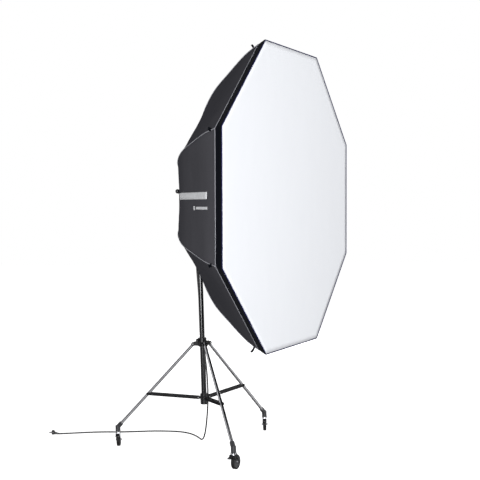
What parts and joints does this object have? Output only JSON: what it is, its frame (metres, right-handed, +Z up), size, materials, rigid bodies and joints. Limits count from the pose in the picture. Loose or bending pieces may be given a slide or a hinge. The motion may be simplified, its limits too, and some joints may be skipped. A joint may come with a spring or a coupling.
{
  "type": "studio softbox",
  "caption": "Large octagonal studio softbox with a deep cloth shell, on a tilting flash head and a folding wheeled stand.",
  "frame": {"origin": "on the floor under the centre of the bounding box of the object without its mains lead", "axes": "+Z up, the white front faces -Y, +X to the right of a person standing behind the stand"},
  "size_m": [1.9, 2.0406, 2.6132],
  "materials": {
    "shell_cloth": "dark charcoal woven nylon, slight sheen",
    "lip_cloth": "black woven nylon",
    "piping_cord": "light grey corded piping",
    "diffuser_cloth": "white translucent diffusion cloth",
    "inner_cloth": "thin white diffusion cloth",
    "webbing": "black woven webbing",
    "rod": "black fibreglass rod",
    "ring_metal": "dark anodised, satin",
    "socket_plastic": "black moulded plastic",
    "pin_steel": "plain turned steel",
    "head_shell": "dark grey powder coat, fine texture",
    "head_panel": "dark moulded plastic",
    "control_plastic": "dark grey moulded plastic",
    "grip_rubber": "matt black rubber",
    "tube_glass": "frosted flash tube glass",
    "dome_glass": "frosted clear dome",
    "bracket_metal": "black painted casting",
    "column_black": "gloss black",
    "riser_chrome": "polished chrome",
    "leg_chrome": "polished chrome",
    "casting_black": "black moulded nylon, semi gloss",
    "casting_grey": "dark grey casting",
    "brace_black": "black painted steel channel",
    "knob_plastic": "black moulded knob",
    "fork_chrome": "bright plated pressed steel",
    "tyre_rubber": "black rubber tread",
    "wheel_core": "grey moulded nylon core",
    "lead_rubber": "black rubber sheath",
    "plug_plastic": "black moulded plug"
  },
  "bodies": {
    "column": {"base_tube": "column_black", "lower_hub": "casting_black", "hub_pins": "pin_steel", "riser_lock_collar": "casting_black", "mains_lead": "lead_rubber", "mains_plug": "plug_plastic"},
    "riser_knob": {"riser_lock_knob": "knob_plastic"},
    "collar": {"leg_collar": "casting_black", "collar_pins": "pin_steel"},
    "collar_knob": {"leg_collar_knob": "knob_plastic"},
    "riser": {"riser_tube": "riser_chrome"},
    "bracket": {"tilt_clevis": "bracket_metal", "tilt_pivot_bolt": "pin_steel"},
    "spigot_knob": {"spigot_screw": "knob_plastic"},
    "lever": {"tilt_lever": "knob_plastic"},
    "head": {"head_barrel": "head_shell", "head_rear_panel": "head_panel", "carry_handle": "grip_rubber", "flash_tube": "tube_glass", "modelling_lamp": "dome_glass", "glass_dome": "dome_glass", "mains_inlet": "head_panel", "head_yoke": "bracket_metal", "lead_strain_relief": "lead_rubber"},
    "switch": {"power_switch": "control_plastic"},
    "dial": {"power_dial": "control_plastic"},
    "latch": {"bayonet_latch": "control_plastic"},
    "softbox": {"shell_panels": "shell_cloth", "front_diffuser": "diffuser_cloth", "rim_lip": "lip_cloth", "piping": "piping_cord", "rib_rods": "rod", "tip_pockets": "webbing", "pull_tabs": "webbing", "inner_diffuser": "inner_cloth", "speedring": "ring_metal", "rib_sockets": "socket_plastic", "socket_pins": "pin_steel", "rear_collar": "lip_cloth"},
    "leg_left": {"leg_tube_left": "leg_chrome", "leg_foot_left": "casting_grey"},
    "brace_left": {"brace_left": "brace_black"},
    "caster_left": {"caster_fork_left": "fork_chrome"},
    "wheel_left": {"caster_wheel_left": "wheel_core", "caster_tyre_left": "tyre_rubber"},
    "pedal_left": {"caster_brake_left": "casting_black"},
    "leg_front": {"leg_tube_front": "leg_chrome", "leg_foot_front": "casting_grey"},
    "brace_front": {"brace_front": "brace_black"},
    "caster_front": {"caster_fork_front": "fork_chrome"},
    "wheel_front": {"caster_wheel_front": "wheel_core", "caster_tyre_front": "tyre_rubber"},
    "pedal_front": {"caster_brake_front": "casting_black"},
    "leg_right": {"leg_tube_right": "leg_chrome", "leg_foot_right": "casting_grey"},
    "brace_right": {"brace_right": "brace_black"},
    "caster_right": {"caster_fork_right": "fork_chrome"},
    "wheel_right": {"caster_wheel_right": "wheel_core", "caster_tyre_right": "tyre_rubber"},
    "pedal_right": {"caster_brake_right": "casting_black"}
  },
  "joints": [
    {"name": "riser_slide", "type": "slide", "parent": "column", "child": "riser", "axis": [0, 0, 1], "range_m": [0, 0.7], "deforming": ["mains_lead"]},
    {"name": "collar_slide", "type": "slide", "parent": "column", "child": "collar", "axis": [0, 0, 1], "range_m": [0, 0.44401]},
    {"name": "head_pan", "type": "hinge", "parent": "riser", "child": "bracket", "pos_m": [0, 0.0484, 1.452], "axis": [0, 0, 1], "continuous": true},
    {"name": "head_tilt", "type": "hinge", "parent": "bracket", "child": "head", "pos_m": [0, 0.0484, 1.58], "axis": [-1, 0, 0], "range_deg": [-12, 35]},
    {"name": "softbox_turn", "type": "hinge", "parent": "head", "child": "softbox", "pos_m": [0, -0.04793, 1.68286], "axis": [0, -0.9995, -0.0328], "continuous": true},
    {"name": "tilt_lever_turn", "type": "hinge", "parent": "bracket", "child": "lever", "pos_m": [-0.0243, 0.0484, 1.58], "axis": [-1, 0, 0], "range_deg": [0, 40]},
    {"name": "riser_knob_turn", "type": "hinge", "parent": "column", "child": "riser_knob", "pos_m": [-0.03849, 0.03751, 1.248], "axis": [-0.9622, -0.2723, 0], "continuous": true},
    {"name": "collar_knob_turn", "type": "hinge", "parent": "collar", "child": "collar_knob", "pos_m": [-0.03878, 0.05821, 0.737], "axis": [-0.9694, 0.2453, 0], "continuous": true},
    {"name": "spigot_screw_turn", "type": "hinge", "parent": "bracket", "child": "spigot_knob", "pos_m": [0.04, 0.0484, 1.474], "axis": [1, 0, 0], "continuous": true},
    {"name": "switch_rock", "type": "hinge", "parent": "head", "child": "switch", "pos_m": [-0.024, 0.13932, 1.70901], "axis": [1, 0, 0], "range_deg": [-7, 7]},
    {"name": "dial_turn", "type": "hinge", "parent": "head", "child": "dial", "pos_m": [0.022, 0.14051, 1.70305], "axis": [0, 0.9995, 0.0328], "range_deg": [-140, 140]},
    {"name": "latch_pull", "type": "slide", "parent": "head", "child": "latch", "axis": [0, 0.9995, 0.0328], "range_m": [0, 0.006], "stiffness_N_per_m": 800},
    {"name": "leg_fold_left", "type": "hinge", "parent": "collar", "child": "leg_left", "pos_m": [-0.01688, 0.10806, 0.709], "axis": [-0.9622, -0.2723, 0], "range_deg": [0, 34.29]},
    {"name": "brace_fold_left", "type": "hinge", "parent": "column", "child": "brace_left", "pos_m": [-0.01035, 0.08496, 0.345], "axis": [0.9622, 0.2723, 0], "range_deg": [0, 68.77]},
    {"name": "caster_swivel_left", "type": "hinge", "parent": "leg_left", "child": "caster_left", "pos_m": [-0.16881, 0.64497, 0.107], "axis": [0, 0, 1], "continuous": true},
    {"name": "wheel_roll_left", "type": "hinge", "parent": "caster_left", "child": "wheel_left", "pos_m": [-0.1493, 0.65513, 0.045], "axis": [0.4617, -0.887, 0], "continuous": true},
    {"name": "brake_press_left", "type": "hinge", "parent": "caster_left", "child": "pedal_left", "pos_m": [-0.19542, 0.63112, 0.092], "axis": [0.4617, -0.887, 0], "range_deg": [0, 16]},
    {"name": "leg_fold_front", "type": "hinge", "parent": "collar", "child": "leg_front", "pos_m": [-0.04322, 0.00395, 0.709], "axis": [0.7169, -0.6972, 0], "range_deg": [0, 34.29]},
    {"name": "brace_fold_front", "type": "hinge", "parent": "column", "child": "brace_front", "pos_m": [-0.02649, 0.02116, 0.345], "axis": [-0.7169, 0.6972, 0], "range_deg": [0, 68.77]},
    {"name": "caster_swivel_front", "type": "hinge", "parent": "leg_front", "child": "caster_front", "pos_m": [-0.43224, -0.39609, 0.107], "axis": [0, 0, 1], "continuous": true},
    {"name": "wheel_roll_front", "type": "hinge", "parent": "caster_front", "child": "wheel_front", "pos_m": [-0.41024, -0.39628, 0.045], "axis": [-0.0087, -1, 0], "continuous": true},
    {"name": "brake_press_front", "type": "hinge", "parent": "caster_front", "child": "pedal_front", "pos_m": [-0.46224, -0.39582, 0.092], "axis": [-0.0087, -1, 0], "range_deg": [0, 16]},
    {"name": "leg_fold_right", "type": "hinge", "parent": "collar", "child": "leg_right", "pos_m": [0.06011, 0.03319, 0.709], "axis": [0.2453, 0.9694, 0], "range_deg": [0, 34.29]},
    {"name": "brace_fold_right", "type": "hinge", "parent": "column", "child": "brace_right", "pos_m": [0.03684, 0.03908, 0.345], "axis": [-0.2453, -0.9694, 0], "range_deg": [0, 68.77]},
    {"name": "caster_swivel_right", "type": "hinge", "parent": "leg_right", "child": "caster_right", "pos_m": [0.60106, -0.10369, 0.107], "axis": [0, 0, 1], "continuous": true},
    {"name": "wheel_roll_right", "type": "hinge", "parent": "caster_right", "child": "wheel_right", "pos_m": [0.62057, -0.09353, 0.045], "axis": [0.4617, -0.887, 0], "continuous": true},
    {"name": "brake_press_right", "type": "hinge", "parent": "caster_right", "child": "pedal_right", "pos_m": [0.57445, -0.11754, 0.092], "axis": [0.4617, -0.887, 0], "range_deg": [0, 16]}
  ],
  "couplings": [
    {"joint": "leg_fold_left", "follows": "collar_slide", "rad_per_m": 1.3479},
    {"joint": "brace_fold_left", "follows": "collar_slide", "rad_per_m": 2.703},
    {"joint": "leg_fold_front", "follows": "collar_slide", "rad_per_m": 1.3479},
    {"joint": "brace_fold_front", "follows": "collar_slide", "rad_per_m": 2.703},
    {"joint": "leg_fold_right", "follows": "collar_slide", "rad_per_m": 1.3479},
    {"joint": "brace_fold_right", "follows": "collar_slide", "rad_per_m": 2.703}
  ]
}
